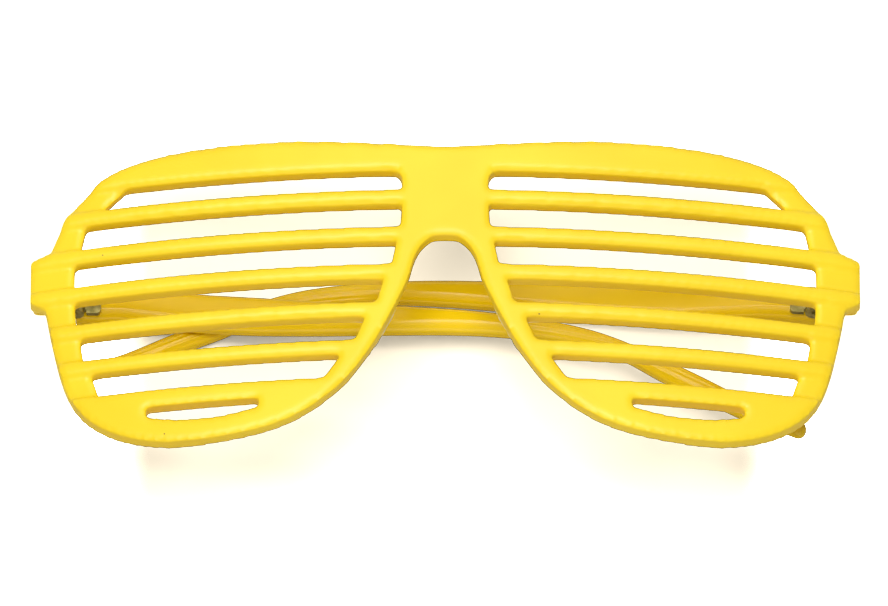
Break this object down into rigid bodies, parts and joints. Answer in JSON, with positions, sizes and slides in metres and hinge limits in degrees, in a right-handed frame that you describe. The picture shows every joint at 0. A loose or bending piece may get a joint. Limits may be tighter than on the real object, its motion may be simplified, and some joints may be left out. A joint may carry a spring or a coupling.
{
  "type": "slatted novelty glasses",
  "caption": "Wrap-around novelty glasses whose lenses are open horizontal slats, lying face up with both arms folded across the back on metal hinges.",
  "frame": {"origin": "on the table under the middle of the folded glasses", "axes": "+X towards the wearer's left hinge, +Y towards the brow, +Z out of the front's face"},
  "size_m": [0.148, 0.0586, 0.0277],
  "materials": {
    "yellow_plastic": "satin",
    "hinge_metal": "satin"
  },
  "bodies": {
    "front": {"front_frame": "yellow_plastic", "left_front_hinge_leaf": "hinge_metal", "right_front_hinge_leaf": "hinge_metal", "left_hinge_screw": "hinge_metal", "right_hinge_screw": "hinge_metal"},
    "left_arm": {"left_temple": "yellow_plastic", "left_temple_hinge_leaf": "hinge_metal"},
    "right_arm": {"right_temple": "yellow_plastic", "right_temple_hinge_leaf": "hinge_metal"}
  },
  "joints": [
    {"name": "right_arm_hinge", "type": "hinge", "parent": "front", "child": "right_arm", "pos_m": [-0.0662, 0.00504, 0.00985], "axis": [0.0576, 0.9983, 0], "range_deg": [0, 91.6]},
    {"name": "left_arm_hinge", "type": "hinge", "parent": "front", "child": "left_arm", "pos_m": [0.0662, 0.00504, 0.00985], "axis": [-0.0576, -0.9983, 0], "range_deg": [0, 88.4]}
  ],
  "couplings": [
    {"joint": "left_arm_hinge", "follows": "right_arm_hinge", "ratio": 0.96507}
  ]
}
